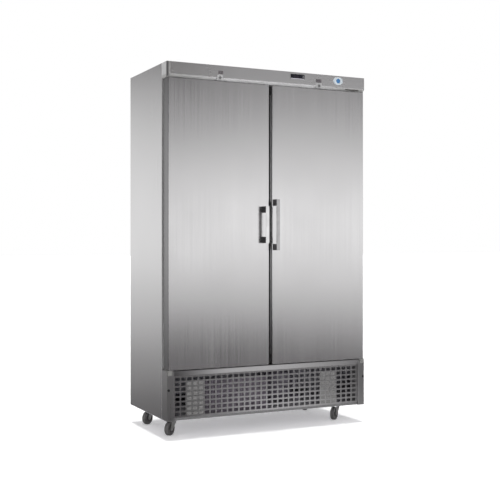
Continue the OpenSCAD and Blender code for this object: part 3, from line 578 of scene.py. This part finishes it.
# The pale oval badge with its plain disc
BADGE = (0.4445, 2.014)
BADGE_HALF = (0.0325, 0.022)
DISC_R = 0.0135
bm = bmesh.new()
domed_plate(bm, oval(BADGE, *BADGE_HALF, 64, 2.3), BADGE, FRONT, 0.0012, 0.0006)
finish_piece("badge_plate", bm, "badge", "cabinet", smooth=True)
bm = bmesh.new()
domed_plate(bm, oval(BADGE, DISC_R, DISC_R, 40), BADGE, FRONT - 0.0016, 0.0005, 0.0004)
finish_piece("badge_disc", bm, "blue", "cabinet", smooth=True)

# Plain plates on the control panel: their ends across the front, and their ends in height
LABELS_X = ((-0.324, -0.3145), (-0.313, -0.295), (0.296, 0.3055), (0.307, 0.331))
LABEL_Z = (1.996, 2.015)
STRIP_PLATE_X = (0.497, 0.590)
STRIP_PLATE_HALF = 0.0038
bm = bmesh.new()
for ends in LABELS_X:
    plate(bm, *ends, *LABEL_Z, FRONT, 0.0008, 0.0008)
finish_piece("label_plates", bm, "label", "cabinet", bevel=0.0002)
bm = bmesh.new()
plate(bm, *STRIP_PLATE_X, -STRIP_PLATE_HALF, STRIP_PLATE_HALF, 0.0, 0.0006, 0.001)
lay_on_slope(bm)
finish_piece("strip_plate", bm, "grey_plate", "cabinet", bevel=0.00015)

# Controller: unlit seven segment digits with a point
WINDOW_Y = -0.2810
DIGIT_X = (0.152, 0.164, 0.176)
DIGIT_Z = 2.0195
DIGIT_W = 0.0062
DIGIT_H = 0.0052
BAR = 0.0011
POINT = (0.1705, 2.0140)
POINT_SIZE = 0.0012
bm = bmesh.new()
for x in DIGIT_X:
    for dz in (-DIGIT_H, 0, DIGIT_H):
        segment(bm, x, DIGIT_Z + dz, DIGIT_W - 0.0014, BAR)
    for dx in (-DIGIT_W / 2, DIGIT_W / 2):
        for dz in (-DIGIT_H / 2, DIGIT_H / 2):
            segment(bm, x + dx, DIGIT_Z + dz, BAR, DIGIT_H - 0.0012)
segment(bm, *POINT, POINT_SIZE, POINT_SIZE)
finish_piece("display_segments", bm, "digit", "cabinet")

# Controller: the pale trim under the display and the arrow on each key
TRIM_X = (0.1310, 0.2170)
TRIM_Z = (2.0055, 2.0088)
bm = bmesh.new()
plate(bm, *TRIM_X, *TRIM_Z, FRONT - 0.002, 0.0003, 0.0006)
finish_piece("controller_trim", bm, "mark", "cabinet")
KEY_X = 0.210
KEY_Y = -0.28305
ARROW = ((-0.0018, -0.0012), (0.0018, -0.0012), (0, 0.0016))
KEYS = (("key_up", 1, 2.0236), ("key_down", -1, 2.0144))
for node, up, z in KEYS:
    bm = bmesh.new()
    prism(bm, [(KEY_X + dx, z + up * dz) for dx, dz in ARROW], KEY_Y, 0.00015)
    finish_piece(node + "_mark", bm, "mark", node)


# Stage: floor, lamps, world and camera

PALE = (0.88, 0.88, 0.885, 1)
WHITE = (1, 1, 1, 1)
FLOOR_SIZE = 60
# What the camera sees of the floor is lit this much beyond the lamps, so that it comes out white
FLOOR_LIFT = 0.28
# How bright metal sees the floor, by the distance in metres from a point in front
FLOOR_CENTRE = (-0.2, -1.8, 0.0)
FLOOR_REACH = 40.0
FLOOR_LEFT = [(0.5, 0.11), (1.0, 0.09), (1.7, 0.045), (2.3, 0.04), (3.4, 0.03), (4.3, 0.06),
              (5.0, 0.14), (6.1, 0.27), (10.0, 0.50), (18.0, 0.66), (40.0, 0.96)]
FLOOR_FRONT = [(1.7, 0.06), (2.0, 0.085), (2.3, 0.12), (3.4, 0.155), (3.7, 0.205), (4.6, 0.28),
               (6.1, 0.36), (10.0, 0.50), (18.0, 0.66), (40.0, 0.96)]
FLOOR_BACK = [(3.2, 0.225), (4.1, 0.30), (5.3, 0.36), (6.9, 0.49), (9.4, 0.62), (13.4, 0.70),
              (21.0, 0.80), (40.0, 1.0)]
# How bright metal sees the sky, by the upward part of the direction
SKY_REACH = 0.5
SKY_LEFT = [(0.0, 1.06), (0.04, 1.05), (0.08, 0.70), (0.12, 0.20), (0.17, 0.015), (0.25, 0.01), (0.5, 0.30)]
SKY_FRONT = [(0.0, 1.06), (0.04, 1.05), (0.08, 0.79), (0.12, 0.47), (0.17, 0.19), (0.25, 0.10), (0.5, 0.30)]
SKY_RIGHT = [(0.0, 1.04), (0.04, 1.02), (0.08, 0.63), (0.12, 0.37), (0.17, 0.13), (0.25, 0.07), (0.5, 0.30)]
SKY_BACK = [(0.0, 1.0), (0.04, 1.0), (0.10, 0.86), (0.155, 0.60), (0.185, 0.28), (0.25, 0.10), (0.5, 0.40)]


def tones(tree, source, stops, reach, out="Result"):
    """A grey that follows stops of distance and brightness."""
    n = add(tree, "ShaderNodeValToRGB")
    ramp = n.color_ramp
    while len(ramp.elements) < len(stops):
        ramp.elements.new(0.5)
    for e, (d, g) in zip(ramp.elements, stops):
        e.position = d / reach
        e.color = (g + 0.005, g, g + 0.003, 1)
    link(tree, source, out, n, "Fac")
    return n.outputs["Color"]


def front_to_back(tree, split, reach, front, back):
    """The front colour towards -Y and the back colour towards +Y."""
    side = add(tree, "ShaderNodeMapRange", {"From Min": -reach, "From Max": reach})
    link(tree, split, "Y", side, "Value")
    return blend(tree, side, front, back)


def by_ray(tree, out, plain, mirrored, seen):
    """One look for the lamps' light, one for shiny and clear surfaces and one for the camera."""
    lp = add(tree, "ShaderNodeLightPath")
    shiny = add(tree, "ShaderNodeMath", operation="ADD", use_clamp=True)
    link(tree, lp, "Is Glossy Ray", shiny, 0)
    link(tree, lp, "Is Transmission Ray", shiny, 1)
    a = add(tree, "ShaderNodeMixShader")
    link(tree, shiny, "Value", a, 0)
    tree.links.new(plain, a.inputs[1])
    tree.links.new(mirrored, a.inputs[2])
    b = add(tree, "ShaderNodeMixShader")
    link(tree, lp, "Is Camera Ray", b, 0)
    link(tree, a, "Shader", b, 1)
    tree.links.new(seen, b.inputs[2])
    link(tree, b, "Shader", out, "Surface")


def lit_by(tree, kind, colour):
    """The output of an emission or background whose colour is linked."""
    n = add(tree, kind)
    tree.links.new(colour, n.inputs["Color"])
    return n.outputs[0]


def stage_object(name, bm):
    """An object of the stage with an empty material, and the material's tree and output."""
    mesh = bpy.data.meshes.new(name)
    bm.to_mesh(mesh)
    bm.free()
    o = bpy.data.objects.new(name, mesh)
    bpy.context.scene.collection.objects.link(o)
    m, t, out = new_material(name)
    mesh.materials.append(m)
    return o, t, out


def floor():
    """White to the camera but for the object's shadow, and graded to metal."""
    bm = bmesh.new()
    bmesh.ops.create_grid(bm, x_segments=1, y_segments=1, size=FLOOR_SIZE)
    _, t, out = stage_object("floor", bm)
    plain = add(t, "ShaderNodeBsdfDiffuse", {"Color": PALE})
    lift = add(t, "ShaderNodeEmission", {"Color": WHITE, "Strength": FLOOR_LIFT})
    seen = add(t, "ShaderNodeAddShader")
    link(t, plain, "BSDF", seen, 0)
    link(t, lift, "Emission", seen, 1)
    tc = add(t, "ShaderNodeTexCoord")
    centre = add(t, "ShaderNodeVectorMath", {1: FLOOR_CENTRE}, operation="SUBTRACT")
    link(t, tc, "Object", centre, 0)
    dist = add(t, "ShaderNodeVectorMath", operation="LENGTH")
    link(t, centre, "Vector", dist, 0)
    far = add(t, "ShaderNodeMapRange", {"From Max": FLOOR_REACH})
    link(t, dist, "Value", far, "Value")
    split = axes(t)
    left, front, back = (tones(t, far, stops, FLOOR_REACH)
                         for stops in (FLOOR_LEFT, FLOOR_FRONT, FLOOR_BACK))
    ahead = blend(t, step(t, split, 2.0, 0.8, "X"), left, front)
    ramp = front_to_back(t, split, 1.5, ahead, back)
    by_ray(t, out, plain.outputs["BSDF"], lit_by(t, "ShaderNodeEmission", ramp), seen.outputs["Shader"])


def reflector(x0, x1, y0, y1, stops):
    """A card on the floor that only shiny surfaces see, its brightness given along X."""
    bm = bmesh.new()
    bm.faces.new([bm.verts.new((x, y, 0.004)) for x, y in ((x0, y0), (x1, y0), (x1, y1), (x0, y1))])
    o, t, out = stage_object("reflector", bm)
    grey = tones(t, axes(t, "Generated"), stops, 1.0, "X")
    t.links.new(lit_by(t, "ShaderNodeEmission", grey), out.inputs["Surface"])
    o.visible_camera = False
    o.visible_diffuse = False
    o.visible_shadow = False


def sky():
    """A white studio, graded to metal."""
    world = bpy.data.worlds.new("studio")
    bpy.context.scene.world = world
    world.use_nodes = True
    t = world.node_tree
    t.nodes.clear()
    out = add(t, "ShaderNodeOutputWorld")
    split = axes(t, "Generated")
    height = add(t, "ShaderNodeMapRange", {"From Min": 0.0, "From Max": SKY_REACH})
    link(t, split, "Z", height, "Value")
    left, front, right, back = (tones(t, height, stops, SKY_REACH)
                                for stops in (SKY_LEFT, SKY_FRONT, SKY_RIGHT, SKY_BACK))
    ahead = blend(t, step(t, split, 0.40, 0.03, "X"), left, front)
    ahead = blend(t, step(t, split, 0.52, 0.04, "X"), ahead, right)
    mirrored = lit_by(t, "ShaderNodeBackground", front_to_back(t, split, 0.5, ahead, back))
    plain = add(t, "ShaderNodeBackground", {"Color": WHITE, "Strength": 0.45})
    seen = add(t, "ShaderNodeBackground", {"Color": WHITE})
    by_ray(t, out, plain.outputs["Background"], mirrored, seen.outputs["Background"])


def sun(name, strength, angle, towards):
    """A broad lamp far away that shines in the direction given and that metal doesn't mirror."""
    d = bpy.data.lights.new(name, "SUN")
    d.energy = strength
    d.angle = math.radians(angle)
    o = bpy.data.objects.new(name, d)
    bpy.context.scene.collection.objects.link(o)
    o.rotation_euler = Vector(towards).to_track_quat("-Z", "Y").to_euler()
    o.visible_glossy = False


floor()
# Cards that brighten the lower grille and the sloped strip above it
reflector(0.0, 1.25, -1.3, -0.62, [(0.0, 0.4), (0.2, 0.9), (0.45, 0.85), (0.7, 0.35), (1.0, 0.25)])
reflector(-0.6, 0.85, -0.62, -0.33, [(0.0, 0.0), (0.10, 0.03), (0.35, 0.78), (0.6, 0.76), (1.0, 0.35)])
sky()
sun("overhead", 2.4, 8.0, (0.0, 0.0, -1.0))
sun("front_fill", 0.7, 40.0, (0.5, 1.0, -0.45))

# The camera that was fitted to the photograph
cam = bpy.data.cameras.new("camera")
cam.sensor_width = 36.0
cam.lens = 67.5
cam.shift_y = -0.0178
cam.clip_start = 0.05
cam.clip_end = 200.0
eye = bpy.data.objects.new("camera", cam)
bpy.context.scene.collection.objects.link(eye)
eye.location = (-2.426, -4.998, 1.076)
eye.rotation_euler = (math.radians(90), 0, math.radians(-25.95))
bpy.context.scene.camera = eye

bpy.context.scene.view_settings.view_transform = "Standard"
